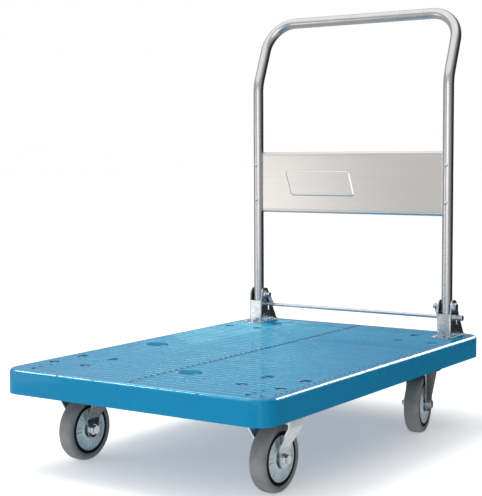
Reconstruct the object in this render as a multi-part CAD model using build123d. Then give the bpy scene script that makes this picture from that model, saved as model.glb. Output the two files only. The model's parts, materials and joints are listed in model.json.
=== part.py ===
from build123d import *
import os
from math import atan2, degrees, hypot, pi, radians, sqrt, tan

# Flatbed platform truck. Millimetres, +Z up, the handle at the +Y end.
# Origin: on the floor, below the centre of the deck.

# deck
deck_length = 900.0
deck_width = 600.0
deck_height = 47.5
deck_corner = 36.0
deck_edge_round = 8.0
deck_plate = 3.5
deck_wall = 3.2
skirt_overlap = 0.5
rib_pitch = 18.5
rib_height = 0.9
rib_base = 7.0
rib_crest = 4.0
rib_margin = 15.0
groove_width = 5.0
groove_depth = 1.2
rib_clear = 4.0
under_rib = 3.0
under_rib_depth = 26.0
grid_gap = 5.0
frame_wall = 3.0
bolt_boss = 13.0
insert_wall = 3.5
accessory_hole = 3.5
accessory_inset_x = 56.0
accessory_inset_y = 28.0
accessory_pitch = 25.0

# wheels
wheel_diameter = 125.0
tyre_width = 33.0
tyre_round = 7.0
tyre_inner = 49.0
hub_radius = 42.0
hub_width = 31.2
hub_rim = 3.5
hub_web = 20.0
hub_boss_wall = 5.0
hub_rib_pairs = 8
hub_rib_spread = 7.0
hub_rib = 1.8
bearing_outer = 16.0
bearing_width = 10.0
axle_radius = 5.0
sleeve_wall = 1.0

# casters
wheel_clearance = 21.0
caster_plate = 4.0
plate_length = 104.0
plate_corner = 9.0
caster_inset = 78.0
front_inset = 148.0
rear_inset = 140.0
bolt_pitch_x = 80.0
bolt_pitch_y = 81.0
leg_gap = 20.0
leg_sheet = 3.0
eye_radius = 16.0
leg_flare = 47.0
leg_half_width = 25.0
leg_bend = 12.0
plate_half = 57.0
trail = 38.0
right_yaw = 10.5
left_yaw = -7.0
crown_radius = 39.0
crown_sheet = 3.5
race_gap = 12.0
race_ring = 4.5
race_radius = 27.0
race_half_width = 8.5
ball_radius = 4.0
kingpin_radius = 6.5
kingpin_head = 11.0

# fasteners
mount_bolt = 4.0
bracket_bolt = 3.0
rivet_radius = 2.4
axle_flange = 10.5
axle_washer = 1.6
axle_hex = 16.0
axle_head = 6.5
axle_nut = 8.0
mount_hex = 13.0
mount_washer = 8.0
insert_radius = 4.5
insert_length = 12.0
bolt_recess = 4.0
recess_radius = 9.6

# handle
tube_radius = 12.0
tube_wall = 1.6
leg_side_inset = 52.0
leg_inset = 74.0
pivot_height = 67.0
tail_length = 21.0
bend_height = 571.0
tilt = 22.0
bar_height = 720.0
corner_radius = 68.0
bend_radius = 90.0
plug_flange = 2.0

# handle panel
panel_low = 267.0
panel_high = 411.0
panel_depth = 11.0
panel_sheet = 1.2
panel_round = 5.0
emboss_height = 1.2
emboss_low = 309.0
emboss_high = 365.0
emboss_left = -170.0
emboss_right = 0.0
emboss_slant = 14.0
emboss_lean = 17.0
emboss_corner = 5.0
ear_inset = 14.0
rivet_heights = (297.0, 380.0)

# hinge brackets
bracket_sheet = 3.0
side_gap = 2.0
bracket_height = 82.0
web_height = 52.0
web_gap = 0.0
base_margin = 2.0
flange_length = 32.0
flange_bolt_inset = 9.0
flange_bolt_spread = 9.0
tail_bolt_inset = 14.0
bracket_tail = 56.0
pivot_radius = 5.0
pivot_flange = 9.5
pivot_end = 15.0
bush_wall = 1.0
bush_flange = 8.5

# release rod
rod_radius = 4.0
rod_behind = 18.0
rod_below = 26.0
rod_travel = 11.0
cap_radius = 6.5
cap_length = 12.0
spring_radius = 3.6
spring_wire = 0.7
spring_turns = 9
spring_offset = 10.0

# clearances
seat = 0.3
fit = 0.05
hole_gap = 0.2

# worked out from the above
wheel_radius = wheel_diameter / 2
caster_height = wheel_diameter + wheel_clearance + caster_plate
plate_under = caster_height - caster_plate
deck_bottom = caster_height - skirt_overlap
deck_top = deck_bottom + deck_height
front_y = -deck_length / 2 + front_inset
rear_y = deck_length / 2 - rear_inset
leg_y = deck_length / 2 - leg_inset
pivot_z = deck_top + pivot_height
tube_end = pivot_z - tail_length
channel = tube_radius + side_gap
bracket_half = channel + bracket_sheet
bracket_front = leg_y - channel - bracket_sheet - web_gap
rod_y = leg_y + rod_behind
rod_z = pivot_z - rod_below
crown_top = plate_under - race_gap
ball_z = (plate_under + crown_top) / 2
race_bore = ball_radius + seat
sleeve_radius = axle_radius + hole_gap / 2 + sleeve_wall
leg_outer = leg_gap + leg_sheet
sides = (-1, 1)
caster_x = deck_width / 2 - caster_inset
leg_x = deck_width / 2 - leg_side_inset
grid_offset = plate_half + grid_gap
frame_x = plate_half - frame_wall
frame_y = plate_length / 2 - 1


def block(x0, x1, y0, y1, z0, z1):
    centre = Pos((x0 + x1) / 2, (y0 + y1) / 2, (z0 + z1) / 2)
    return centre * Box(x1 - x0, y1 - y0, z1 - z0)


def post(radius, x, y, z0, z1):
    return Pos(x, y, (z0 + z1) / 2) * Cylinder(radius, z1 - z0)


def bar(radius, x0, x1, y=0.0, z=0.0):
    return Pos((x0 + x1) / 2, y, z) * Rot(0, 90, 0) * Cylinder(radius, abs(x1 - x0))


def hexagon(across, height):
    return extrude(RegularPolygon(across / sqrt(3), 6), height)


def turned(points):
    """A solid turned about the X axis, from (x, radius) points."""
    return revolve(make_face(Polyline(*points, close=True)), Axis.X)


def turned_z(points):
    """A solid turned about the Z axis, from (radius, z) points."""
    outline = make_face(Plane.XZ * Polyline(*points, close=True))
    return revolve(outline, Axis.Z)


def side_sheet(points, x0, x1):
    """A flat sheet from (y, z) points, between two x values."""
    face = make_face(Plane.YZ * Polyline(*points, close=True))
    return Pos(x0, 0, 0) * extrude(face, x1 - x0, dir=(1, 0, 0))


def group(solids):
    return Compound(children=list(solids))


def save(name, shape):
    export_step(shape, f"parts/{name}.step")


def caster_centres():
    """Centre of each caster's mounting plate."""
    return [(side * caster_x, y) for y in (front_y, rear_y) for side in sides]


def mount_points():
    """Axes of the caster mounting bolts."""
    return [
        (x + i * bolt_pitch_x / 2, y + j * bolt_pitch_y / 2)
        for x, y in caster_centres()
        for i in sides
        for j in sides
    ]


def bracket_points():
    """Axes of the bolts that hold the two hinge brackets."""
    front = bracket_front - flange_length + flange_bolt_inset
    back = leg_y + bracket_tail - tail_bolt_inset
    offsets = ((-flange_bolt_spread, front), (flange_bolt_spread, front), (0, back))
    return [(side * leg_x + dx, y) for side in sides for dx, y in offsets]


def accessory_points():
    """Spare fixing holes in a row along Y near each front corner."""
    x = deck_width / 2 - accessory_inset_x
    y = -deck_length / 2 + accessory_inset_y
    return [(side * x, y + accessory_pitch * k) for side in sides for k in range(3)]


# ---- deck ----

def deck_shell():
    outer = Pos(0, 0, deck_bottom) * extrude(
        RectangleRounded(deck_width, deck_length, deck_corner), deck_height
    )
    outer = fillet(outer.edges().group_by(Axis.Z)[-1], deck_edge_round)
    inner = Pos(0, 0, deck_bottom) * extrude(
        RectangleRounded(
            deck_width - 2 * deck_wall, deck_length - 2 * deck_wall, deck_corner - deck_wall
        ),
        deck_height - deck_plate,
    )
    inner = fillet(inner.edges().group_by(Axis.Z)[-1], deck_edge_round - deck_wall)
    return outer - inner


def deck_top_ribs():
    """Low anti-slip ribs along X in two fields, clear of the fittings."""
    half = deck_width / 2 - rib_margin
    gap = groove_width / 2 + rib_clear
    profile = Plane.YZ * Polyline(
        (-rib_base / 2, -rib_height),
        (-rib_base / 2, 0),
        (-rib_crest / 2, rib_height),
        (rib_crest / 2, rib_height),
        (rib_base / 2, 0),
        (rib_base / 2, -rib_height),
        close=True,
    )
    rib = extrude(make_face(profile), half - gap, dir=(1, 0, 0))
    rows = int((deck_length / 2 - rib_margin) / rib_pitch)
    keep_clear = [
        block(
            side * leg_x - bracket_half - 6, side * leg_x + bracket_half + 6,
            bracket_front - flange_length - 2, deck_length / 2,
            deck_top - 5, deck_top + 5,
        )
        for side in sides
    ]
    keep_clear += [post(bolt_boss, x, y, deck_top - 5, deck_top + 5) for x, y in mount_points()]
    keep_clear += [post(2 * accessory_hole, x, y, deck_top - 5, deck_top + 5)
                   for x, y in accessory_points()]
    ribs = []
    for row in range(-rows, rows):
        y = (row + 0.5) * rib_pitch
        inset = max(0.0, abs(y) - (deck_length / 2 - deck_corner - rib_margin))
        cut = [k for k in keep_clear if k.bounding_box().min.Y < y + rib_base
               and k.bounding_box().max.Y > y - rib_base]
        for x0 in (-half, gap):
            piece = Pos(x0, y, deck_top) * rib
            if inset > 0:
                trim = deck_width / 2 - rib_margin - inset
                piece = piece & block(-trim, trim, y - 9, y + 9, deck_top - 5, deck_top + 5)
            for tool in cut:
                piece = piece - tool
            ribs += piece.solids()
    return ribs


def deck_under_ribs():
    """Stiffening grid below the plate, with a bolt frame over each caster."""
    low = deck_top - deck_plate - under_rib_depth
    high = deck_top - deck_plate / 2
    x_end = deck_width / 2 - deck_wall / 2
    y_end = deck_length / 2 - deck_wall / 2
    walls = [block(x - under_rib / 2, x + under_rib / 2, -y_end, y_end, low, high)
             for x in (-caster_x + grid_offset, -caster_x / 3, caster_x / 3, caster_x - grid_offset)]
    stations = (front_y - grid_offset, front_y + grid_offset, front_y / 3, 0.0,
                rear_y / 3, rear_y - grid_offset, rear_y + grid_offset)
    walls += [block(-x_end, x_end, y - under_rib / 2, y + under_rib / 2, low, high)
              for y in stations]
    return walls


def caster_frames():
    """Deep frames and bolt bosses that carry the caster plates."""
    frames = []
    high = deck_top - deck_plate / 2
    for x, y in caster_centres():
        outer = block(x - frame_x, x + frame_x, y - frame_y, y + frame_y, caster_height, high)
        inner = block(x - frame_x + frame_wall, x + frame_x - frame_wall,
                      y - frame_y + frame_wall, y + frame_y - frame_wall, caster_height, high)
        frames.append(outer - inner)
    frames += [post(bolt_boss, x, y, caster_height, high) for x, y in mount_points()]
    frames += [post(insert_radius + insert_wall, x, y, deck_top - insert_length - 4, high)
               for x, y in bracket_points()]
    return frames


def make_deck():
    body = deck_shell()
    body = body.fuse(*deck_under_ribs(), *caster_frames())
    body = body.fuse(*deck_top_ribs())
    cuts = [post(mount_bolt + hole_gap, x, y, caster_height - 1, deck_top + 2)
            for x, y in mount_points()]
    cuts += [post(recess_radius, x, y, deck_top - bolt_recess, deck_top + 2)
             for x, y in mount_points()]
    cuts += [post(insert_radius, x, y, deck_top - insert_length, deck_top + 2)
             for x, y in bracket_points()]
    cuts += [post(accessory_hole, x, y, deck_bottom, deck_top + 2) for x, y in accessory_points()]
    end = deck_length / 2 - rib_margin
    cuts.append(block(-groove_width / 2, groove_width / 2, -end, end,
                      deck_top - groove_depth, deck_top + 2))
    return body.cut(*cuts)


# ---- wheels, turned about X at the origin ----

def make_tyre():
    half = tyre_width / 2
    ring = turned([(-half, tyre_inner), (-half, wheel_radius),
                   (half, wheel_radius), (half, tyre_inner)])
    rim = [e for e in ring.edges().filter_by(GeomType.CIRCLE) if e.radius > tyre_inner + 1]
    return fillet(rim, tyre_round)


def make_cushion():
    half = hub_width / 2
    return turned([(-half, hub_radius + 0.02), (-half, tyre_inner - 0.02),
                   (half, tyre_inner - 0.02), (half, hub_radius + 0.02)])


def make_hub():
    half = hub_width / 2
    rim_in = hub_radius - hub_rim
    boss = bearing_outer + fit + hub_boss_wall
    rim = turned([(-half, rim_in), (-half, hub_radius), (half, hub_radius), (half, rim_in)])
    web = turned([(-hub_web / 2, boss - 1), (-hub_web / 2, rim_in + 1),
                  (hub_web / 2, rim_in + 1), (hub_web / 2, boss - 1)])
    seat_x = half - bearing_width
    bore = bearing_outer + fit
    core = turned([(-half, bore), (-half, boss), (half, boss), (half, bore),
                   (seat_x, bore), (seat_x, bore - 3), (-seat_x, bore - 3), (-seat_x, bore)])
    spoke = block(-half + 1.6, half - 1.6, -hub_rib / 2, hub_rib / 2, boss - 1, rim_in + 1)
    spokes = [Rot(360 * k / hub_rib_pairs + side * hub_rib_spread, 0, 0) * spoke
              for k in range(hub_rib_pairs) for side in sides]
    return rim.fuse(web, core, *spokes)


def make_bearings():
    half = hub_width / 2
    inner = sleeve_radius + fit
    low, high = inner + 2.5, bearing_outer - 2.5
    back = half - bearing_width + fit
    ring = turned([(back, inner), (back, bearing_outer), (half, bearing_outer), (half, high),
                   (half - 0.6, high), (half - 0.6, low), (half, low), (half, inner)])
    return [ring, mirror(ring, Plane.YZ)]


def make_sleeve():
    """Axle sleeve and the two collars between hub and fork."""
    end = leg_gap - hole_gap
    bore = axle_radius + hole_gap / 2
    sleeve = bar(sleeve_radius, -end, end) - bar(bore, -end, end)
    start = hub_width / 2 + seat
    collar = bar(sleeve_radius + 2.4, start, end) - bar(sleeve_radius + hole_gap, start, end)
    return [sleeve, collar, mirror(collar, Plane.YZ)]


def make_axle_bolt():
    face = leg_outer + seat
    shank = bar(axle_radius, -face - axle_nut - 4, face + 1)
    flange = bar(axle_flange, face, face + axle_washer)
    head = Pos(face + axle_washer - 0.1, 0, 0) * Rot(0, 90, 0) * hexagon(axle_hex, axle_head)
    return shank.fuse(flange, head)


def make_axle_nut():
    face = leg_outer + seat
    nut = Pos(-face, 0, 0) * Rot(0, -90, 0) * hexagon(axle_hex, axle_nut)
    washer = bar(axle_flange, -face - axle_washer, -face)
    return nut.fuse(washer) - bar(axle_radius + fit, -face - axle_nut - 1, -face + 1)


# ---- rigid front casters, wheel centre at x = 0, y = 0 ----

def fork_outline(points, x_reach):
    """Leg outline in the Y-Z plane with a round eye at the axle."""
    body = side_sheet(points, -x_reach, x_reach)
    eye = bar(eye_radius, -x_reach, x_reach, 0, wheel_radius)
    return body.fuse(eye)


def make_rigid_fork():
    a = wheel_radius
    inside = leg_gap + leg_sheet / 2
    outside = leg_flare - leg_sheet / 2
    path = FilletPolyline(
        (inside, a - eye_radius - 2), (inside, a + 22), (outside, a + 62),
        (outside, plate_under + caster_plate / 2), radius=leg_bend,
    )
    section = trace(path, leg_sheet)
    wall = extrude(Plane.XZ * section, 60, both=True)
    outline = fork_outline(
        [(-eye_radius + 0.4, a + 3), (-leg_half_width + 2, a + 50), (-leg_half_width, plate_under + 1),
         (leg_half_width, plate_under + 1), (leg_half_width - 2, a + 50), (eye_radius - 0.4, a + 3)],
        leg_flare + 3,
    )
    leg = wall & outline
    plate = Pos(0, 0, plate_under) * extrude(
        RectangleRounded(2 * plate_half, plate_length, plate_corner), caster_plate
    )
    fork = plate.fuse(leg, mirror(leg, Plane.YZ))
    holes = [post(mount_bolt + hole_gap, i * bolt_pitch_x / 2, j * bolt_pitch_y / 2,
                  plate_under - 2, caster_height + 2) for i in sides for j in sides]
    return fork.cut(*holes, bar(axle_radius + hole_gap, -99, 99, 0, a))


# ---- swivel rear casters, swivel axis at x = 0, y = 0 ----

def make_swivel_plate():
    plate = Pos(0, 0, plate_under) * extrude(
        RectangleRounded(2 * plate_half, plate_length, plate_corner), caster_plate
    )
    outer = race_radius + race_half_width
    inner = race_radius - race_half_width
    ring = turned_z([(inner, plate_under - race_ring), (outer - 1.5, plate_under - race_ring),
                     (outer, plate_under + 1), (inner, plate_under + 1)])
    groove = Pos(0, 0, ball_z) * Torus(race_radius, race_bore)
    holes = [post(mount_bolt + hole_gap, i * bolt_pitch_x / 2, j * bolt_pitch_y / 2,
                  plate_under - 2, caster_height + 2) for i in sides for j in sides]
    bore = post(kingpin_radius + fit, 0, 0, plate_under - 9, caster_height + 2)
    return plate.fuse(ring).cut(groove, bore, *holes)


def make_yoke():
    a = wheel_radius
    front = -trail - eye_radius - 2
    side = sqrt(crown_radius ** 2 - leg_outer ** 2)
    under = crown_top - crown_sheet
    crown = post(crown_radius, 0, 0, under, crown_top).fuse(
        block(-leg_outer, leg_outer, front, 0, under, crown_top)
    )
    outline = side_sheet(
        [(-trail - eye_radius, a), (front, a + 30), (front, crown_top), (side, crown_top),
         (side, a + 56), (-trail + eye_radius - 1, a - 5)], -leg_outer, leg_outer,
    ).fuse(bar(eye_radius, -leg_outer, leg_outer, -trail, a))
    hollow = block(-leg_gap, leg_gap, -200, 200, 0, crown_top + 1)
    legs = outline - hollow
    outer = race_radius + race_half_width
    inner = race_radius - race_half_width
    ring = turned_z([(inner, crown_top - 1), (outer, crown_top - 1),
                     (outer - 1.5, crown_top + race_ring), (inner, crown_top + race_ring)])
    groove = Pos(0, 0, ball_z) * Torus(race_radius, race_bore)
    bore = post(kingpin_radius + fit, 0, 0, under - 2, crown_top + 9)
    axle_hole = bar(axle_radius + hole_gap, -99, 99, -trail, a)
    return crown.fuse(legs, ring).cut(groove, bore, axle_hole)


def make_balls():
    count = int(2 * pi * race_radius / (2 * ball_radius + 3))
    return [Rot(0, 0, 360 * k / count) * Pos(race_radius, 0, ball_z) * Sphere(ball_radius)
            for k in range(count)]


def make_kingpin():
    under = crown_top - crown_sheet - hole_gap
    return turned_z([
        (0, under - 5), (kingpin_head - 3, under - 5), (kingpin_head, under - 3), (kingpin_head, under),
        (kingpin_radius, under), (kingpin_radius, caster_height + fit),
        (kingpin_head - 1, caster_height + fit), (kingpin_head - 3, caster_height + 3),
        (0, caster_height + 3),
    ])


# ---- fasteners ----

def mount_bolt_shape():
    """Bolt with a low domed head, sunk in the deck's recess."""
    face = deck_top - bolt_recess
    rim = recess_radius - 1
    head = turned_z([(0, face), (rim, face), (rim, face + 1.2),
                     (rim - 3, face + 2.9), (0, face + 3.4)])
    return head.fuse(post(mount_bolt, 0, 0, plate_under - 8, face + 1))


def mount_nut_shape():
    washer = post(mount_washer, 0, 0, plate_under - 1.5 - fit, plate_under - fit)
    nut = Pos(0, 0, plate_under - 7) * hexagon(mount_hex, 6)
    return nut.fuse(washer) - post(mount_bolt + fit, 0, 0, plate_under - 9, plate_under + 1)


def bracket_bolt_shape():
    face = deck_top + bracket_sheet + fit
    washer = post(6.5, 0, 0, face, face + 1.2)
    head = Pos(0, 0, face + 1) * hexagon(10, 4.4)
    return head.fuse(washer, post(bracket_bolt, 0, 0, deck_top - insert_length + 2, face + 1))


def bracket_insert_shape():
    """Threaded insert set in the deck for one bracket bolt."""
    low = deck_top - insert_length + fit
    body = post(insert_radius - 0.02, 0, 0, low, deck_top - fit)
    outer = post(insert_radius + 1, 0, 0, low + 4, low + 6)
    groove = outer - post(insert_radius - 0.7, 0, 0, low + 4, low + 6)
    return body.cut(groove, post(bracket_bolt + fit, 0, 0, low - 1, deck_top + 1))


# ---- hinge brackets, drawn for the +X side ----

def make_bracket():
    front = bracket_front
    tail = leg_y + bracket_tail
    top = deck_top + bracket_height
    outline = [
        (front, deck_top), (front, deck_top + web_height), (front + 3, deck_top + web_height + 6),
        (front + 4, top - 10), (front + 8, top - 3), (front + 14, top), (leg_y + 7, top),
        (leg_y + 13, top - 3), (leg_y + 17, top - 10), (leg_y + 31, rod_z), (tail, deck_top),
    ]
    walls = [side_sheet(outline, side * (channel + bracket_sheet / 2) - bracket_sheet / 2,
                        side * (channel + bracket_sheet / 2) + bracket_sheet / 2)
             for side in sides]
    base = block(-bracket_half - base_margin, bracket_half + base_margin,
                 front - flange_length, tail, deck_top, deck_top + bracket_sheet)
    web = block(-bracket_half, bracket_half, front, front + bracket_sheet,
                deck_top, deck_top + web_height)
    body = base.fuse(web, *walls)
    bend = [e for e in body.edges().filter_by(Axis.Z)
            if abs(abs(e.center().X) - bracket_half) < 0.1 and abs(e.center().Y - front) < 0.1]
    body = fillet(bend, 3.0)
    low = rod_z - rod_travel - rod_radius - seat
    high = rod_z + rod_radius + seat
    half = rod_radius + seat
    slot = bar(half, -99, 99, rod_y, high - half).fuse(
        bar(half, -99, 99, rod_y, low + half),
        block(-99, 99, rod_y - half, rod_y + half, low + half, high - half),
    )
    cuts = [slot, bar(pivot_radius + fit, -99, 99, leg_y, pivot_z)]
    cuts += [post(bracket_bolt + hole_gap, x - leg_x, y, deck_top - 1, deck_top + 9)
             for x, y in bracket_points()[3:]]
    return body.cut(*cuts)


def make_pivot_bolt():
    """Head on the outer side; the plain inner end carries the spring's hook."""
    face = bracket_half + fit
    shank = bar(pivot_radius, -bracket_half - pivot_end, face + 1)
    flange = bar(pivot_flange, face, face + 1.6)
    head = Pos(face + 1.5, 0, 0) * Rot(0, 90, 0) * hexagon(15, 5.5)
    return shank.fuse(flange, head)


def make_pivot_nut():
    face = bracket_half + fit
    nut = Pos(-face, 0, 0) * Rot(0, -90, 0) * hexagon(16, 5)
    return nut - bar(pivot_radius + fit, -face - 6, -face + 1)


def make_bush():
    end = channel - seat
    flange = side_gap - seat - fit
    body = bar(pivot_radius + bush_wall, -end, end)
    body = body.fuse(bar(bush_flange, end - flange, end), bar(bush_flange, -end, -end + flange))
    return body - bar(pivot_radius + fit, -end - 1, end + 1)


def make_spring():
    """Tension spring from the pivot bolt's inner end down to the release rod."""
    length = hypot(rod_behind, rod_below)
    top_loop = pivot_radius + seat + spring_wire
    low_loop = rod_radius + seat + spring_wire
    start = top_loop
    coil = length - top_loop - low_loop
    pitch = coil / spring_turns
    helix = Helix(pitch, coil, spring_radius)
    wire = sweep(Plane(helix @ 0, z_dir=helix % 0) * Circle(spring_wire), path=helix)
    loops = [Rot(0, 90, 0) * Torus(top_loop, spring_wire),
             Pos(0, 0, start + coil + low_loop) * Rot(0, 90, 0) * Torus(low_loop, spring_wire)]
    knot = spring_wire + 0.2
    links = [bar(knot, -0.4, spring_radius + 0.5, 0, z) for z in (start, start + coil)]
    spring = (Pos(0, 0, start) * wire).fuse(*links).fuse(*loops)
    lean = degrees(atan2(rod_behind, rod_below))
    return Rot(180 + lean, 0, 0) * spring


# ---- release rod ----

def make_rod():
    end = leg_x + bracket_half + base_margin + cap_length - 1
    return bar(rod_radius, -end, end, rod_y, rod_z)


def make_rod_caps():
    start = leg_x + bracket_half + seat
    end = leg_x + bracket_half + base_margin + cap_length
    cap = bar(cap_radius, start, end, rod_y, rod_z)
    cap = chamfer(cap.edges().group_by(Axis.X)[-1], 1.5)
    cap = cap - bar(rod_radius + fit, start - 1, end - 1, rod_y, rod_z)
    return [cap, mirror(cap, Plane.YZ)]


# ---- handle ----

def handle_path():
    rise = bar_height - bend_height
    back = rise * tan(radians(tilt))
    low = (leg_y, tube_end)
    knee = (leg_y, deck_top + bend_height)
    head = (leg_y + back, deck_top + bar_height)
    points = [(-leg_x, *low), (-leg_x, *knee), (-leg_x, *head),
              (leg_x, *head), (leg_x, *knee), (leg_x, *low)]
    return FilletPolyline(*points, radius=[bend_radius, corner_radius, corner_radius, bend_radius])


def make_tube():
    path = handle_path()
    start = Plane(path @ 0, z_dir=path % 0)
    ring = Circle(tube_radius) - Circle(tube_radius - tube_wall)
    tube = sweep(start * ring, path=path)
    cuts = [bar(pivot_radius + bush_wall + fit, side * leg_x - 20, side * leg_x + 20, leg_y, pivot_z)
            for side in sides]
    cuts += [Pos(side * leg_x, leg_y, deck_top + z) * Rot(90, 0, 0) * Cylinder(rivet_radius + fit, 60)
             for side in sides for z in rivet_heights]
    return tube.cut(*cuts)


def make_plugs():
    bore = tube_radius - tube_wall - fit
    stem_top = tube_end + 12
    plugs = []
    for side in sides:
        flange = post(tube_radius, side * leg_x, leg_y, tube_end - plug_flange, tube_end)
        flange = fillet(flange.edges().group_by(Axis.Z)[0], 1.2)
        plugs.append(flange.fuse(post(bore, side * leg_x, leg_y, tube_end - 0.5, stem_top)))
    return plugs


def make_panel():
    low, high = deck_top + panel_low, deck_top + panel_high
    edge = leg_x - tube_radius - seat
    front = leg_y - 1.5
    outer = block(-edge, edge, front, front + panel_depth, low, high)
    corners = [e for e in outer.edges().filter_by(Axis.X) if abs(e.center().Y - front) < 0.1]
    outer = fillet(corners, panel_round)
    inner = block(-edge - 1, edge + 1, front + panel_sheet, front + panel_depth + 1,
                  low + panel_sheet, high - panel_sheet)
    corners = [e for e in inner.edges().filter_by(Axis.X)
               if abs(e.center().Y - front - panel_sheet) < 0.1]
    inner = fillet(corners, panel_round - panel_sheet)
    body = outer - inner
    back = leg_y + tube_radius + seat
    flange = block(edge - panel_sheet, edge, front + 0.5, back + panel_sheet,
                   low + ear_inset, high - ear_inset)
    tab = block(edge - panel_sheet, leg_x + 6, back, back + panel_sheet,
                low + ear_inset, high - ear_inset)
    ear = flange.fuse(tab)
    body = body.fuse(ear, mirror(ear, Plane.YZ))
    body = body.fuse(emboss(front))
    holes = [Pos(side * leg_x, leg_y, deck_top + z) * Rot(90, 0, 0) * Cylinder(rivet_radius + fit, 60)
             for side in sides for z in rivet_heights]
    return body.cut(*holes)


def emboss(front):
    """Raised blank parallelogram on the panel's face."""
    low, high = deck_top + emboss_low, deck_top + emboss_high
    points = [(emboss_left, high), (emboss_right, high), (emboss_right + emboss_slant, low),
              (emboss_left + emboss_lean, low)]
    face = make_face(Plane.XZ * Polyline(*points, close=True))
    pad = Pos(0, front + 0.3, 0) * extrude(face, emboss_height + 0.3, dir=(0, -1, 0))
    pad = fillet(pad.edges().filter_by(Axis.Y), emboss_corner)
    return chamfer(pad.edges().group_by(Axis.Y)[0], emboss_height * 0.8)


def make_rivets():
    rivets = []
    back = leg_y + tube_radius + seat + panel_sheet
    for side in sides:
        for z in rivet_heights:
            place = Pos(side * leg_x, 0, deck_top + z)
            shank = Rot(90, 0, 0) * Cylinder(rivet_radius, back - leg_y + tube_radius + 1)
            shank = Pos(0, (back + leg_y - tube_radius) / 2, 0) * shank
            dome = Rot(-90, 0, 0) * turned_z([(0, 0), (4.6, 0), (3.6, 1.6), (1.6, 2.4), (0, 2.6)])
            tail = Pos(0, back, 0) * dome
            head = Pos(0, leg_y - tube_radius, 0) * Rot(180, 0, 0) * dome
            rivets.append(place * shank.fuse(tail, head))
    return rivets


# ---- placing and saving ----

def save_wheel(name, place):
    save(name + "_tyre", place * make_tyre())
    save(name + "_cushion", place * make_cushion())
    save(name + "_hub", place * make_hub())
    save(name + "_bearings", group(place * b for b in make_bearings()))


def save_front():
    places = [Pos(side * caster_x, front_y, 0) for side in sides]
    axles = [place * Pos(0, 0, wheel_radius) for place in places]
    for name, place, axle in zip(("front_left", "front_right"), places, axles):
        save(name + "_fork", place * make_rigid_fork())
        save_wheel(name, axle)
    save("front_axle_bolts", group(axle * make_axle_bolt() for axle in axles))
    save("front_axle_nuts", group(axle * make_axle_nut() for axle in axles))
    save("front_axle_sleeves", group(axle * s for axle in axles for s in make_sleeve()))


def save_rear(name, side, yaw):
    plate = Pos(side * caster_x, rear_y, 0)
    turn = plate * Rot(0, 0, yaw)
    axle = turn * Pos(0, -trail, wheel_radius)
    save(name + "_plate", plate * make_swivel_plate())
    save(name + "_kingpin", plate * make_kingpin())
    save(name + "_fork", turn * make_yoke())
    save(name + "_balls", group(turn * b for b in make_balls()))
    save(name + "_axle_bolt", axle * make_axle_bolt())
    save(name + "_axle_nut", axle * make_axle_nut())
    save(name + "_axle_sleeve", group(axle * s for s in make_sleeve()))
    save_wheel(name, axle)


def save_hinges():
    right = Pos(leg_x, 0, 0) * make_bracket()
    save("right_bracket", right)
    save("left_bracket", mirror(right, Plane.YZ))
    pivot = Pos(leg_x, leg_y, pivot_z)
    for name, shape in (("pivot_bolts", make_pivot_bolt()), ("pivot_nuts", make_pivot_nut()),
                        ("pivot_bushes", make_bush())):
        piece = pivot * shape
        save(name, group([piece, mirror(piece, Plane.YZ)]))
    save("bracket_bolts", group(Pos(x, y, 0) * bracket_bolt_shape() for x, y in bracket_points()))
    save("bracket_inserts", group(Pos(x, y, 0) * bracket_insert_shape() for x, y in bracket_points()))
    spring = Pos(leg_x - bracket_half - spring_offset, leg_y, pivot_z) * make_spring()
    save("release_springs", group([spring, mirror(spring, Plane.YZ)]))
    save("release_rod", make_rod())
    save("rod_caps", group(make_rod_caps()))


def save_handle():
    save("handle_tube", make_tube())
    save("handle_panel", make_panel())
    save("panel_rivets", group(make_rivets()))
    save("tube_plugs", group(make_plugs()))


def main():
    os.makedirs("parts", exist_ok=True)
    save("deck", make_deck())
    save("caster_bolts", group(Pos(x, y, 0) * mount_bolt_shape() for x, y in mount_points()))
    save("caster_nuts", group(Pos(x, y, 0) * mount_nut_shape() for x, y in mount_points()))
    save_front()
    save_rear("rear_left", -1, left_yaw)
    save_rear("rear_right", 1, right_yaw)
    save_hinges()
    save_handle()


main()
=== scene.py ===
import bpy
import bmesh
import json
from math import cos, pi, radians, sin, tan
from mathutils import Matrix, Vector

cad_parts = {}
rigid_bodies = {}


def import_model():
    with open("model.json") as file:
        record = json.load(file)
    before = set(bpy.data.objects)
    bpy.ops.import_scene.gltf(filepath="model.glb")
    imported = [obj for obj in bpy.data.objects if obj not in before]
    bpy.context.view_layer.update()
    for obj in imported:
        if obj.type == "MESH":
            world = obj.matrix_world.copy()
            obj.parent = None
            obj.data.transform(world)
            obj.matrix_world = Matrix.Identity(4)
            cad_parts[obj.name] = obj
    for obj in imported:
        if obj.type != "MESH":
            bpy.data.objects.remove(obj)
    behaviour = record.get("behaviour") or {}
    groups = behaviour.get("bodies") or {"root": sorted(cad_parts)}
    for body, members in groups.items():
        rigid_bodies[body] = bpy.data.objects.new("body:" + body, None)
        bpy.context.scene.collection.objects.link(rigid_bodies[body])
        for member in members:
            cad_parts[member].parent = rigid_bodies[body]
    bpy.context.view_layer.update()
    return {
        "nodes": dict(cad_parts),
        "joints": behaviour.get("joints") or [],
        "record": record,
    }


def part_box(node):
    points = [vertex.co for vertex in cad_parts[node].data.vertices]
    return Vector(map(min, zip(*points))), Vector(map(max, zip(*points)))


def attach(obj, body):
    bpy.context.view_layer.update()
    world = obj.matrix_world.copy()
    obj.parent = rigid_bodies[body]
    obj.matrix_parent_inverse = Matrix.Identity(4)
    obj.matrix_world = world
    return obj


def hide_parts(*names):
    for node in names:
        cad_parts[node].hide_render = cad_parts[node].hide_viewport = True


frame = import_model()
mm = 0.001
print("frame loaded:", len(frame["nodes"]), "nodes")

wheelNames = ("front_left", "front_right", "rear_left", "rear_right")
sides = (-1, 1)

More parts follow.
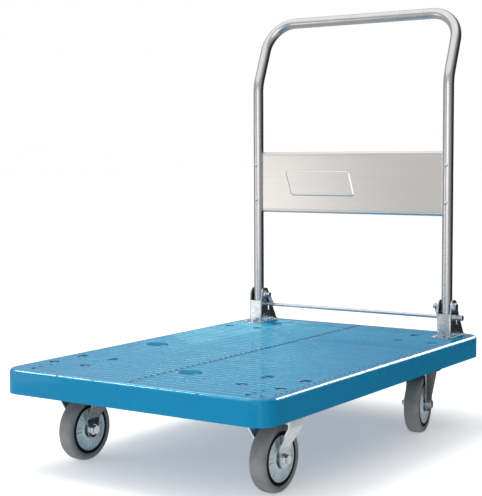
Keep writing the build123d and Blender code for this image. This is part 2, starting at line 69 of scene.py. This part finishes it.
noises = {
    "roughness": 0.55,
    "span": (0.3, 0.7),  # nearly all of a noise's values lie between these
    "mottleDetail": 4.0,
    "glossDetail": 5.0,
    "waveDetail": 1.0,
    "grainDetail": 2.0,
    "glossFiner": 3.7,  # the gloss changes over shorter distances than the colour
}


def newMaterial(name, colour, metallic, roughness):
    mat = bpy.data.materials.new(name)
    mat.use_nodes = True
    shader = mat.node_tree.nodes["Principled BSDF"]
    shader.inputs["Base Color"].default_value = (*colour, 1)
    shader.inputs["Metallic"].default_value = metallic
    shader.inputs["Roughness"].default_value = roughness
    return mat, shader


def objectPlace(mat, scale=(1, 1, 1)):
    # the piece's own metres, stretched where a finish runs along one way
    tree = mat.node_tree
    place = tree.nodes.new("ShaderNodeTexCoord")
    stretch = tree.nodes.new("ShaderNodeMapping")
    stretch.inputs["Scale"].default_value = scale
    tree.links.new(place.outputs["Object"], stretch.inputs["Vector"])
    return stretch.outputs["Vector"]


def noise(mat, place, scale, detail):
    node = mat.node_tree.nodes.new("ShaderNodeTexNoise")
    node.inputs["Scale"].default_value = scale
    node.inputs["Detail"].default_value = detail
    node.inputs["Roughness"].default_value = noises["roughness"]
    mat.node_tree.links.new(place, node.inputs["Vector"])
    return node.outputs["Fac"]


def spread(mat, value, low, high):
    # a noise turned into numbers from low to high
    start, end = noises["span"]
    node = mat.node_tree.nodes.new("ShaderNodeMapRange")
    node.inputs["From Min"].default_value = start
    node.inputs["From Max"].default_value = end
    node.inputs["To Min"].default_value = low
    node.inputs["To Max"].default_value = high
    mat.node_tree.links.new(value, node.inputs["Value"])
    return node.outputs["Result"]


def tint(mat, value, dark, light):
    # a noise turned into colours from dark to light
    start, end = noises["span"]
    node = mat.node_tree.nodes.new("ShaderNodeValToRGB")
    node.color_ramp.elements[0].position = start
    node.color_ramp.elements[0].color = (*dark, 1)
    node.color_ramp.elements[1].position = end
    node.color_ramp.elements[1].color = (*light, 1)
    mat.node_tree.links.new(value, node.inputs["Fac"])
    return node.outputs["Color"]


def bump(mat, height, strength, distance, under=None):
    node = mat.node_tree.nodes.new("ShaderNodeBump")
    node.inputs["Strength"].default_value = strength
    node.inputs["Distance"].default_value = distance
    mat.node_tree.links.new(height, node.inputs["Height"])
    if under is not None:
        mat.node_tree.links.new(under, node.inputs["Normal"])
    return node.outputs["Normal"]


def wire(mat, value, shader, socket):
    mat.node_tree.links.new(value, shader.inputs[socket])


def shade(colour, factor):
    return tuple(min(1.0, c * factor) for c in colour)


def finish(name, spec):
    # one finish: mottled colour, uneven gloss, a fine grain over a slow waviness
    mat, shader = newMaterial(name, spec["colour"], spec["metallic"], spec["roughness"])
    place = objectPlace(mat, spec.get("stretch", (1, 1, 1)))
    mottle = noise(mat, place, spec["mottle"], noises["mottleDetail"])
    low, high = spec["range"]
    colour = tint(mat, mottle, shade(spec["colour"], low), shade(spec["colour"], high))
    wire(mat, colour, shader, "Base Color")
    gloss = noise(mat, place, spec["mottle"] * noises["glossFiner"], noises["glossDetail"])
    middle, vary = spec["roughness"], spec["glossRange"]
    wire(mat, spread(mat, gloss, middle - vary, middle + vary), shader, "Roughness")
    wave = noise(mat, place, spec["wave"], noises["waveDetail"])
    slow = bump(mat, wave, spec["waveStrength"], spec["waveDepth"])
    grain = noise(mat, place, spec["grain"], noises["grainDetail"])
    fine = bump(mat, grain, spec["grainStrength"], spec["grainDepth"], slow)
    wire(mat, fine, shader, "Normal")
    for socket, value in spec.get("sockets", {}).items():
        shader.inputs[socket].default_value = value
    return mat


# mottle, wave and grain are noise scales: a larger one is finer
finishes = {
    "deck_plastic": dict(
        colour=(0.0, 0.19, 0.375), metallic=0, roughness=0.3,
        mottle=4, range=(0.95, 1.05), glossRange=0.06,
        grain=1300, grainStrength=0.25, grainDepth=0.0002,
        wave=22, waveStrength=0.12, waveDepth=0.002,
        sockets={"Specular IOR Level": 0.22, "Specular Tint": (0.25, 0.95, 1.0, 1),
                 "Coat Weight": 0.34, "Coat Roughness": 0.05}),
    # the marks' darker colour is painted shade, standing in for the shade of a sunken ring
    "mark_plastic": dict(
        colour=(0.0, 0.15, 0.3), metallic=0, roughness=0.55,
        mottle=60, range=(0.75, 1.2), glossRange=0.06,
        grain=1300, grainStrength=0.2, grainDepth=0.0002,
        wave=160, waveStrength=0.2, waveDepth=0.001,
        sockets={"Specular IOR Level": 0.1, "Specular Tint": (0.25, 0.95, 1.0, 1)}),
    "tyre_rubber": dict(
        colour=(0.225, 0.228, 0.228), metallic=0, roughness=0.72,
        mottle=45, range=(0.84, 1.1), glossRange=0.1,
        grain=1900, grainStrength=0.45, grainDepth=0.0002,
        wave=60, waveStrength=0.15, waveDepth=0.0008,
        sockets={"Specular IOR Level": 0.35}),
    "cushion_rubber": dict(
        colour=(0.008, 0.008, 0.009), metallic=0, roughness=0.5,
        mottle=80, range=(0.7, 1.3), glossRange=0.1,
        grain=2400, grainStrength=0.3, grainDepth=0.0001,
        wave=90, waveStrength=0.1, waveDepth=0.0005,
        sockets={"Specular IOR Level": 0.25}),
    "hub_plastic": dict(
        colour=(0.56, 0.68, 0.72), metallic=0, roughness=0.34,
        mottle=60, range=(0.93, 1.05), glossRange=0.07,
        grain=2600, grainStrength=0.15, grainDepth=0.0001,
        wave=110, waveStrength=0.12, waveDepth=0.0006),
    "zinc_steel": dict(
        colour=(0.63, 0.67, 0.69), metallic=1, roughness=0.24,
        mottle=120, range=(0.84, 1.08), glossRange=0.07,
        grain=1100, grainStrength=0.05, grainDepth=0.0002,
        wave=70, waveStrength=0.14, waveDepth=0.001),
    "tube_steel": dict(
        colour=(0.65, 0.65, 0.655), metallic=1, roughness=0.26,
        mottle=30, range=(0.95, 1.04), glossRange=0.03,
        grain=900, grainStrength=0.03, grainDepth=0.0001,
        wave=16, waveStrength=0.04, waveDepth=0.001, stretch=(1, 1, 0.08)),
    "panel_steel": dict(
        colour=(0.8, 0.775, 0.745), metallic=1, roughness=0.32,
        mottle=26, range=(0.98, 1.02), glossRange=0.04,
        grain=260, grainStrength=0.09, grainDepth=0.0001,
        wave=5, waveStrength=0.12, waveDepth=0.002, stretch=(0.05, 6, 6)),
    "fastener_steel": dict(
        colour=(0.74, 0.76, 0.79), metallic=1, roughness=0.2,
        mottle=260, range=(0.85, 1.08), glossRange=0.07,
        grain=1400, grainStrength=0.1, grainDepth=0.0001,
        wave=160, waveStrength=0.1, waveDepth=0.0004),
    "bearing_steel": dict(
        colour=(0.5, 0.5, 0.52), metallic=1, roughness=0.25,
        mottle=200, range=(0.9, 1.05), glossRange=0.05,
        grain=1800, grainStrength=0.08, grainDepth=0.0001,
        wave=120, waveStrength=0.08, waveDepth=0.0004),
    "black_plastic": dict(
        colour=(0.02, 0.02, 0.022), metallic=0, roughness=0.45,
        mottle=90, range=(0.8, 1.2), glossRange=0.08,
        grain=2000, grainStrength=0.2, grainDepth=0.0001,
        wave=100, waveStrength=0.1, waveDepth=0.0005),
    "brass": dict(
        colour=(0.62, 0.43, 0.16), metallic=1, roughness=0.3,
        mottle=120, range=(0.9, 1.06), glossRange=0.06,
        grain=1600, grainStrength=0.1, grainDepth=0.0001,
        wave=100, waveStrength=0.1, waveDepth=0.0005),
}
materials = {name: finish(name, spec) for name, spec in finishes.items()}
slotOf = {row["node"]: row["material_slot"] for row in frame["record"]["subparts"]}
bodies = frame["record"]["behaviour"]["bodies"]
bodyOf = {node: body for body, nodes in bodies.items() for node in nodes}

for node, obj in frame["nodes"].items():
    for slot in obj.material_slots:
        slot.material = materials[slotOf[node]]
print("materials on the frame's nodes")


def addMesh(name, bm, finishName, sharpAngle=35):
    # edges that turn more than the sharp angle, in degrees, stay crisp
    bmesh.ops.recalc_face_normals(bm, faces=bm.faces)
    mesh = bpy.data.meshes.new(name)
    bm.to_mesh(mesh)
    bm.free()
    mesh.shade_smooth()
    mesh.set_sharp_from_angle(angle=radians(sharpAngle))
    mesh.materials.append(materials[finishName])
    obj = bpy.data.objects.new(name, mesh)
    bpy.context.scene.collection.objects.link(obj)
    return obj


def standsFor(obj, node):
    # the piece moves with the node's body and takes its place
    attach(obj, bodyOf[node])
    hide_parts(node)


def joinRings(bm, here, there):
    # one closed band of faces between two rings of as many points
    for k in range(len(here)):
        j = (k + 1) % len(here)
        bm.faces.new((here[k], here[j], there[j], there[k]))


def latheX(bm, points, steps):
    # turns a closed outline of (x, radius) points about the X axis
    rings = []
    for k in range(steps):
        turn = 2 * pi * k / steps
        rings.append([bm.verts.new((x, r * cos(turn), r * sin(turn))) for x, r in points])
    for k in range(steps):
        joinRings(bm, rings[k], rings[(k + 1) % steps])


def mirrored(points):
    # an outline from the middle plane outwards, carried on to the other side,
    # where a point on the middle plane isn't repeated
    return points + [(-x, r) for x, r in reversed(points) if x > 0]


def addBox(bm, size, matrix):
    bmesh.ops.create_cube(bm, size=1.0, matrix=matrix @ Matrix.Diagonal((*size, 1)))


def softEdges(obj, width, segments=2, angle=40):
    soft = obj.modifiers.new("softEdges", "BEVEL")
    soft.width = width
    soft.segments = segments
    soft.limit_method = "ANGLE"
    soft.angle_limit = radians(angle)
    soft.harden_normals = True


softCopies = {
    "weld": 0.01 * mm,  # points nearer than this become one
    "flat": radians(2),  # faces that turn less than this become one
}


def softCopy(node, width):
    # the node's own shape with its machined edges broken
    bm = bmesh.new()
    bm.from_mesh(frame["nodes"][node].data)
    bmesh.ops.remove_doubles(bm, verts=bm.verts, dist=softCopies["weld"])
    bmesh.ops.dissolve_limit(bm, angle_limit=softCopies["flat"], verts=bm.verts, edges=bm.edges)
    obj = addMesh(node + "_finished", bm, slotOf[node])
    softEdges(obj, width)
    standsFor(obj, node)


# how far the edges of the pressed and turned steel parts are broken, in millimetres
softPieces = {
    "front_left_fork": 0.7, "front_right_fork": 0.7,
    "rear_left_fork": 0.7, "rear_right_fork": 0.7,
    "rear_left_plate": 0.6, "rear_right_plate": 0.6,
    "left_bracket": 0.6, "right_bracket": 0.6,
    "front_axle_bolts": 0.5, "front_axle_nuts": 0.5,
    "rear_left_axle_bolt": 0.5, "rear_right_axle_bolt": 0.5,
    "rear_left_axle_nut": 0.5, "rear_right_axle_nut": 0.5,
    "pivot_bolts": 0.5, "pivot_nuts": 0.5, "bracket_bolts": 0.4,
    "caster_bolts": 0.35, "caster_nuts": 0.4, "rod_caps": 0.4,
}
for node, width in softPieces.items():
    softCopy(node, width * mm)
print("steel parts finished")


# wheel outlines are (across, radius) in millimetres, from the middle plane outwards
tyre = {
    "profile": [(0, 62.45), (4, 62.4), (8, 62.1), (11.2, 61.3), (13.6, 60.0), (15.3, 58.2), (16.2, 56.0),
                (16.45, 53.6), (16.2, 52.4), (15.6, 51.9), (15.5, 51.3), (15.95, 50.7), (15.8, 49.8),
                (15.2, 49.1), (13.0, 49.02)],
    "steps": 128,
    "sharpAngle": 50,
}
cushion = {
    "profile": [(13.0, 48.9), (15.1, 48.75), (15.3, 48.2), (14.9, 47.4), (14.2, 46.6), (14.0, 45.5),
                (14.2, 44.4), (14.9, 43.5), (15.35, 42.8), (15.2, 42.15), (13.0, 42.1)],
    "steps": 112,
    "sharpAngle": 50,
}
hub = {
    "profile": [(12.0, 41.95), (15.3, 41.9), (15.55, 41.5), (15.55, 40.7), (15.2, 40.2), (12.6, 39.6),
                (11.7, 39.0), (11.5, 37.5), (12.1, 30.0), (12.7, 23.5), (13.2, 22.0), (14.9, 21.3),
                (15.4, 20.8), (15.55, 20.2), (15.55, 17.2), (15.2, 16.6), (14.6, 16.12), (5.6, 16.12)],
    "steps": 112,
    "sharpAngle": 40,
    "pairs": 8,
    "pairHalfAngle": 7.0,
    "ribLow": 21.4, "ribHigh": 39.4, "ribWidth": 1.5, "ribTop": 13.9, "ribDeep": 3.0,
    "softEdge": 0.35, "softAngle": 60,
}


def wheelPlace(name):
    # the wheel's centre, with X turned onto its axle
    joint = next(j for j in frame["joints"] if j["name"] == name + "_roll")
    turn = Vector((1, 0, 0)).rotation_difference(Vector(joint["axis"])).to_matrix().to_4x4()
    return Matrix.Translation(joint["pos_m"]) @ turn


def turnedRing(spec):
    # one ring of the wheel, turned from its outline
    bm = bmesh.new()
    outline = [(x * mm, r * mm) for x, r in mirrored(spec["profile"])]
    latheX(bm, outline, spec["steps"])
    return bm


def makeTyre(name):
    bm = turnedRing(tyre)
    bm.transform(wheelPlace(name))
    obj = addMesh(name + "_tyre_moulded", bm, "tyre_rubber", tyre["sharpAngle"])
    standsFor(obj, name + "_tyre")


def makeCushion(name):
    bm = turnedRing(cushion)
    bm.transform(wheelPlace(name))
    obj = addMesh(name + "_cushion_ring", bm, "cushion_rubber", cushion["sharpAngle"])
    standsFor(obj, name + "_cushion")


def addHubRibs(bm):
    # thin ribs in pairs, on both faces of the disc
    length = (hub["ribHigh"] - hub["ribLow"]) * mm
    middle = (hub["ribHigh"] + hub["ribLow"]) / 2 * mm
    deep = hub["ribDeep"] * mm
    for k in range(hub["pairs"]):
        for side in sides:
            angle = 2 * pi * k / hub["pairs"] + side * radians(hub["pairHalfAngle"])
            turn = Matrix.Rotation(angle, 4, "X")
            for face in sides:
                top = Matrix.Translation((face * (hub["ribTop"] * mm - deep / 2), middle, 0))
                addBox(bm, (deep, length, hub["ribWidth"] * mm), turn @ top)


def makeHub(name):
    # dished disc with ribs, a raised rim and a bearing boss
    bm = turnedRing(hub)
    addHubRibs(bm)
    bm.transform(wheelPlace(name))
    obj = addMesh(name + "_hub_moulded", bm, "hub_plastic", hub["sharpAngle"])
    softEdges(obj, hub["softEdge"] * mm, angle=hub["softAngle"])
    standsFor(obj, name + "_hub")


for name in wheelNames:
    makeTyre(name)
    makeCushion(name)
    makeHub(name)
print("wheels made")


handle = {
    "kneeHeight": 571 * mm,  # above the deck
    "kneeRadius": 90 * mm,
    "cornerRadius": 68 * mm,
    "arcSteps": 24,
    "around": 48,
    "sharpAngle": 60,
}
deckRib = 0.9 * mm  # the deck's ribs stand this far above its face
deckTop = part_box("deck")[1].z - deckRib
tubeLow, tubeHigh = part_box("handle_tube")
tubeRadius = (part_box("tube_plugs")[1].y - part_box("tube_plugs")[0].y) / 2
legX = tubeHigh.x - tubeRadius
legY = tubeLow.y + tubeRadius


def roundedPath(points, radii, steps):
    # straight runs joined by tangent arcs
    path = [points[0]]
    for before, here, after, radius in zip(points, points[1:], points[2:], radii):
        back = (before - here).normalized()
        ahead = (after - here).normalized()
        half = back.angle(ahead) / 2
        middle = here + (back + ahead).normalized() * (radius / sin(half))
        start = here + back * (radius / tan(half))
        out = (start - middle).normalized()
        along = -back
        sweep = pi - 2 * half
        for k in range(steps + 1):
            turn = sweep * k / steps
            path.append(middle + (out * cos(turn) + along * sin(turn)) * radius)
    path.append(points[-1])
    return path


def makeTube():
    # one tube: up a leg, over the crossbar and down the other leg
    kneeZ = deckTop + handle["kneeHeight"]
    headZ = tubeHigh.z - tubeRadius
    headY = tubeHigh.y - tubeRadius
    left = [Vector((-legX, legY, tubeLow.z)), Vector((-legX, legY, kneeZ)), Vector((-legX, headY, headZ))]
    right = [Vector((-x, y, z)) for x, y, z in reversed(left)]
    bends = [handle["kneeRadius"], handle["cornerRadius"]]
    path = roundedPath(left + right, bends + bends[::-1], handle["arcSteps"])
    turns = [2 * pi * k / handle["around"] for k in range(handle["around"])]
    bm = bmesh.new()
    rings = []
    side = Vector((1, 0, 0))
    for i, point in enumerate(path):
        ahead = path[min(i + 1, len(path) - 1)] - path[max(i - 1, 0)]
        ahead.normalize()
        side = (side - ahead * side.dot(ahead)).normalized()
        up = ahead.cross(side)
        around = [point + (side * cos(turn) + up * sin(turn)) * tubeRadius for turn in turns]
        rings.append([bm.verts.new(place) for place in around])
    for here, there in zip(rings, rings[1:]):
        joinRings(bm, here, there)
    bm.faces.new(rings[0])
    bm.faces.new(rings[-1])
    obj = addMesh("handle_tube_bent", bm, "tube_steel", handle["sharpAngle"])
    standsFor(obj, "handle_tube")


panel = {
    "sheet": 1.2 * mm,
    "front": -1.5 * mm,  # the face's distance from the legs' middle plane
    "depth": 11 * mm,
    "gap": 0.3 * mm,  # left between the panel and the tube
    "hem": 5.0 * mm, "hemSteps": 6,
    "hemLine": 7.5 * mm, "hemLineWidth": 1.1 * mm, "hemLineDepth": 0.45 * mm,
    "raised": 1.5 * mm, "slope": 2.2 * mm,
    "padCorners": [(-170, 365), (0, 365), (14, 309), (-153, 309)],  # millimetres, above the deck
    "padRound": 6 * mm,
    "gridX": 1.6 * mm, "gridZ": 0.9 * mm,
    "sharpAngle": 50,
    "earInset": 14 * mm, "earReach": 6 * mm, "earEdge": 0.3 * mm,
    "rivetEdge": 0.3 * mm,
}
panelLow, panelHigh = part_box("handle_panel")[0].z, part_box("handle_panel")[1].z
panelFront = legY + panel["front"]
panelEdge = legX - tubeRadius - panel["gap"]


def padDistance(x, z):
    # how far a point lies inside the raised parallelogram, negative outside
    corners = [(px * mm, deckTop + pz * mm) for px, pz in panel["padCorners"]]
    soft = panel["padRound"]
    gaps = []
    for (x0, z0), (x1, z1) in zip(corners, corners[1:] + corners[:1]):
        length = ((x1 - x0) ** 2 + (z1 - z0) ** 2) ** 0.5
        gaps.append(((z1 - z0) * (x - x0) - (x1 - x0) * (z - z0)) / length)
    near = sorted(gaps)[:2]
    if near[0] < soft and near[1] < soft:
        return soft - ((soft - near[0]) ** 2 + (soft - near[1]) ** 2) ** 0.5
    return near[0]


def easeStep(value):
    # 0 to 1 with a soft start and end
    value = max(0.0, min(1.0, value))
    return value * value * (3 - 2 * value)


def panelRelief(x, z):
    # outward height of the pressed face at a point
    pad = easeStep(padDistance(x, z) / panel["slope"] + 0.5) * panel["raised"]
    edge = min(z - panelLow, panelHigh - z)
    line = max(0.0, 1 - abs(edge - panel["hemLine"]) / panel["hemLineWidth"])
    return pad - easeStep(line) * panel["hemLineDepth"]


def panelRows():
    # the sheet's section from low to high: hem, flat face, hem
    front, hem, steps = panelFront, panel["hem"], panel["hemSteps"]
    turns = [pi / 2 * k / steps for k in range(steps + 1)]
    flat = panelHigh - panelLow - 2 * hem
    count = int(flat / panel["gridZ"])
    rows = [(front + panel["depth"], panelLow)]
    rows += [(front + hem - hem * sin(turn), panelLow + hem - hem * cos(turn)) for turn in turns]
    rows += [(front, panelLow + hem + flat * k / count) for k in range(1, count)]
    rows += [(front + hem - hem * cos(turn), panelHigh - hem + hem * sin(turn)) for turn in turns]
    rows += [(front + panel["depth"], panelHigh)]
    return rows


def makePanel():
    columns = int(2 * panelEdge / panel["gridX"])
    bm = bmesh.new()
    grid = []
    for y, z in panelRows():
        line = []
        for i in range(columns + 1):
            x = -panelEdge + 2 * panelEdge * i / columns
            out = panelRelief(x, z) if y == panelFront else 0
            line.append(bm.verts.new((x, y - out, z)))
        grid.append(line)
    for here, there in zip(grid, grid[1:]):
        for i in range(columns):
            bm.faces.new((here[i], here[i + 1], there[i + 1], there[i]))
    obj = addMesh("handle_panel_pressed", bm, "panel_steel", panel["sharpAngle"])
    thick = obj.modifiers.new("sheet", "SOLIDIFY")
    thick.thickness = panel["sheet"]
    thick.offset = -1
    standsFor(obj, "handle_panel")


def makeEars():
    # end flanges folded round the back of the tube, one at each side
    back = legY + tubeRadius + panel["gap"]
    sheet = panel["sheet"]
    middle = (panelLow + panelHigh) / 2
    tall = panelHigh - panelLow - 2 * panel["earInset"]
    reach = legX + panel["earReach"] - panelEdge + sheet
    bm = bmesh.new()
    for side in sides:
        flangeY = (panelFront + sheet + back + sheet) / 2
        flange = Matrix.Translation((side * (panelEdge - sheet / 2), flangeY, middle))
        addBox(bm, (sheet, back - panelFront, tall), flange)
        tab = Matrix.Translation((side * (panelEdge - sheet + reach / 2), back + sheet / 2, middle))
        addBox(bm, (reach, sheet, tall), tab)
    obj = addMesh("handle_panel_ears", bm, "panel_steel")
    softEdges(obj, panel["earEdge"])
    standsFor(obj, "handle_panel")


makeTube()
makePanel()
makeEars()
softCopy("panel_rivets", panel["rivetEdge"])
print("handle made")


# sizes of the deck's details are in millimetres
pads = {
    "ovals": [(33, -295, 25, 19), (-230, -55, 26, 19)],  # middle x and y, half length, half width
    "height": 1.5,
    "sink": 0.3,
    "profile": [(1.0, 0.0), (1.0, 0.45), (0.93, 0.8), (0.80, 1.0), (0.72, 0.75)],  # shares of size, height
    "middle": 0.75,
    "steps": 48,
}


def makePads():
    # plain oval moulding marks, a little above the ribs; their finish is darker than the deck's, which is
    # painted shade in place of a sunken ring
    turns = [2 * pi * k / pads["steps"] for k in range(pads["steps"])]
    low = deckTop - pads["sink"] * mm
    tall = (pads["height"] + pads["sink"]) * mm
    bm = bmesh.new()
    for x, y, long, wide in pads["ovals"]:
        rings = []
        for share, level in pads["profile"]:
            outline = [((x + long * share * cos(turn)) * mm, (y + wide * share * sin(turn)) * mm)
                       for turn in turns]
            rings.append([bm.verts.new((*place, low + tall * level)) for place in outline])
        for here, there in zip(rings, rings[1:]):
            joinRings(bm, here, there)
        top = bm.verts.new((x * mm, y * mm, low + tall * pads["middle"]))
        for k, vert in enumerate(rings[-1]):
            bm.faces.new((vert, rings[-1][(k + 1) % pads["steps"]], top))
        bm.faces.new(list(reversed(rings[0])))
    obj = addMesh("deck_oval_marks", bm, "mark_plastic")
    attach(obj, "deck")


seamFill = {
    "halfWidth": 2.3, "flatShare": 0.5, "edgeDrop": 0.05,
    "front": -428, "back": 190,
    "depthFront": 0.12, "depthBack": 1.1, "below": 0.4,
    "steps": 24,
}


def makeSeamFill():
    # the groove's floor rises towards the front, where it's barely a line
    steps, half = seamFill["steps"], seamFill["halfWidth"] * mm
    flat, drop = half * seamFill["flatShare"], seamFill["edgeDrop"] * mm
    low = deckTop - (seamFill["depthBack"] + seamFill["below"]) * mm
    bm = bmesh.new()
    rows = []
    for k in range(steps + 1):
        share = k / steps
        y = (seamFill["front"] + (seamFill["back"] - seamFill["front"]) * share) * mm
        depth = seamFill["depthFront"] + (seamFill["depthBack"] - seamFill["depthFront"]) * share ** 2
        z = deckTop - depth * mm
        profile = [(-half, low), (-half, z - drop), (-flat, z), (flat, z), (half, z - drop), (half, low)]
        rows.append([bm.verts.new((x, y, up)) for x, up in profile])
    for here, there in zip(rows, rows[1:]):
        joinRings(bm, here, there)
    bm.faces.new(rows[0])
    bm.faces.new(list(reversed(rows[-1])))
    obj = addMesh("deck_groove_floor", bm, "deck_plastic")
    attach(obj, "deck")


makePads()
makeSeamFill()
print("deck details made")


studio = {
    "floorRadius": 40.0,
    "floorSides": 96,
    "floorColour": (0.9, 0.9, 0.9),
    "floorRoughness": 0.9,
    "floorMottle": 1.5,
    "floorMottleDetail": 3.0,
    "floorMottleShade": 0.99,
    "floorGlow": 0.37,
    "darkSide": (0.643, 0.766, 0.0),  # the way to the darker side of the room
    "darkStart": 0.25,
    "darkFull": 0.85,
    "darkColour": (0.06, 0.06, 0.065),
    "sky": 0.5,
    "backdrop": 1.0,
    "sunTurn": (radians(12), radians(-10), 0),
    "sunSpread": radians(100),
    "sunPower": 1.25,
}
# diffuse=False leaves a light's reflection alone, and only names the pieces that it reaches
lights = {
    "topLight": dict(at=(-0.7, -0.3, 2.4), aim=(0, 0, 0.2), size=(1.3, 1.3), power=28, glossy=False),
    "leftLight": dict(at=(-1.6, -1.45, 0.33), aim=(-0.2, 0.38, 0.5), size=(0.8, 0.9), power=2.6),
    "ribLight": dict(at=(-1.9, 1.4, 2.4), aim=(0, 0, 0.2), size=(1.2, 0.8), power=26, diffuse=False,
                     colour=(0.4, 1.0, 1.0), only="deck"),
    "floorGlint": dict(at=(0.1, 0, 0.003), aim=(0.1, 0, 1.0), size=(1.8, 1.8), power=6.5, diffuse=False,
                       only=("front_right_fork", "front_axle")),
    "frontGlint": dict(at=(1.5, -2.2, 0.3), aim=(0, 0, 0.3), size=(0.7, 1.3), power=2.7, diffuse=False),
    "edgeBack": dict(at=(0.8, 2.6, 1.6), aim=(0.3, 0, 0.2), size=(1.3, 1.5), power=105, diffuse=False,
                     only="deck"),
    "edgeTop": dict(at=(-2.4, -1.06, 2.7), aim=(0, -0.45, 0.2), size=(0.8, 1.2), power=120, diffuse=False,
                    only="deck"),
    "frontStrip": dict(at=(0.55, -3.1, 0.9), aim=(0, 0, 0.3), size=(2.0, 1.6), power=13),
}
eye = {
    "at": (1.3658, -2.1170, 0.5973),
    "yaw": 33.759,
    "pitch": 4.267,
    "roll": 0.248,
    "lens": 88.70,
    "sensor": 36,
}


def makeFloor():
    # pale paper that glows a little, so that it stays white beside the object
    bm = bmesh.new()
    bmesh.ops.create_circle(bm, cap_ends=True, segments=studio["floorSides"], radius=studio["floorRadius"])
    mesh = bpy.data.meshes.new("floor")
    bm.to_mesh(mesh)
    bm.free()
    floor = bpy.data.objects.new("floor", mesh)
    bpy.context.scene.collection.objects.link(floor)
    colour = studio["floorColour"]
    mat, shader = newMaterial("floorPaper", colour, 0, studio["floorRoughness"])
    mottle = noise(mat, objectPlace(mat), studio["floorMottle"], studio["floorMottleDetail"])
    paper = tint(mat, mottle, shade(colour, studio["floorMottleShade"]), colour)
    wire(mat, paper, shader, "Base Color")
    wire(mat, paper, shader, "Emission Color")
    shader.inputs["Emission Strength"].default_value = studio["floorGlow"]
    mesh.materials.append(mat)
    floor.visible_glossy = False


def makeSky():
    # bright room with one darker side, which the bright metal reflects
    world = bpy.data.worlds.new("studioSky")
    bpy.context.scene.world = world
    world.use_nodes = True
    tree = world.node_tree
    back = tree.nodes["Background"]
    place = tree.nodes.new("ShaderNodeTexCoord")
    side = tree.nodes.new("ShaderNodeVectorMath")
    side.operation = "DOT_PRODUCT"
    side.inputs[1].default_value = studio["darkSide"]
    tree.links.new(place.outputs["Generated"], side.inputs[0])
    ramp = tree.nodes.new("ShaderNodeValToRGB")
    ramp.color_ramp.elements[0].position = studio["darkStart"]
    ramp.color_ramp.elements[0].color = (1, 1, 1, 1)
    ramp.color_ramp.elements[1].position = studio["darkFull"]
    ramp.color_ramp.elements[1].color = (*studio["darkColour"], 1)
    tree.links.new(side.outputs["Value"], ramp.inputs["Fac"])
    rays = tree.nodes.new("ShaderNodeLightPath")
    mix = tree.nodes.new("ShaderNodeMix")
    mix.data_type = "RGBA"
    seen = studio["backdrop"] / studio["sky"]  # the backdrop behind the object stays white
    mix.inputs["B"].default_value = (seen, seen, seen, 1)
    tree.links.new(rays.outputs["Is Camera Ray"], mix.inputs["Factor"])
    tree.links.new(ramp.outputs["Color"], mix.inputs["A"])
    tree.links.new(mix.outputs["Result"], back.inputs["Color"])
    back.inputs["Strength"].default_value = studio["sky"]


def makeLight(name, spec):
    lamp = bpy.data.lights.new(name, "AREA")
    lamp.shape = "RECTANGLE"
    lamp.size, lamp.size_y = spec["size"]
    lamp.energy = spec["power"]
    lamp.color = spec.get("colour", (1, 1, 1))
    obj = bpy.data.objects.new(name, lamp)
    obj.location = spec["at"]
    aim = Vector(spec["aim"]) - Vector(spec["at"])
    obj.rotation_euler = aim.to_track_quat("-Z", "Y").to_euler()
    obj.visible_camera = False
    obj.visible_diffuse = spec.get("diffuse", True)
    obj.visible_glossy = spec.get("glossy", True)
    bpy.context.scene.collection.objects.link(obj)
    if "only" in spec:
        # a glint light reaches just the pieces it's meant for
        lit = bpy.data.collections.new(name + "Lit")
        for piece in bpy.context.scene.objects:
            if piece.type == "MESH" and piece.name.startswith(spec["only"]):
                lit.objects.link(piece)
        obj.light_linking.receiver_collection = lit


def makeSun():
    lamp = bpy.data.lights.new("softSun", "SUN")
    lamp.energy = studio["sunPower"]
    lamp.angle = studio["sunSpread"]
    obj = bpy.data.objects.new("softSun", lamp)
    obj.rotation_euler = studio["sunTurn"]
    bpy.context.scene.collection.objects.link(obj)


def makeCamera():
    lens = bpy.data.cameras.new("eye")
    lens.lens = eye["lens"]
    lens.sensor_width = eye["sensor"]
    cam = bpy.data.objects.new("eye", lens)
    yaw = Matrix.Rotation(radians(eye["yaw"]), 4, "Z")
    pitch = Matrix.Rotation(radians(90 - eye["pitch"]), 4, "X")
    roll = Matrix.Rotation(radians(-eye["roll"]), 4, "Z")
    cam.matrix_world = Matrix.Translation(eye["at"]) @ (yaw @ pitch @ roll)
    bpy.context.scene.collection.objects.link(cam)
    bpy.context.scene.camera = cam


makeFloor()
makeSky()
makeSun()
for name, spec in lights.items():
    makeLight(name, spec)
makeCamera()
bpy.context.scene.view_settings.view_transform = "Standard"
print("studio ready")
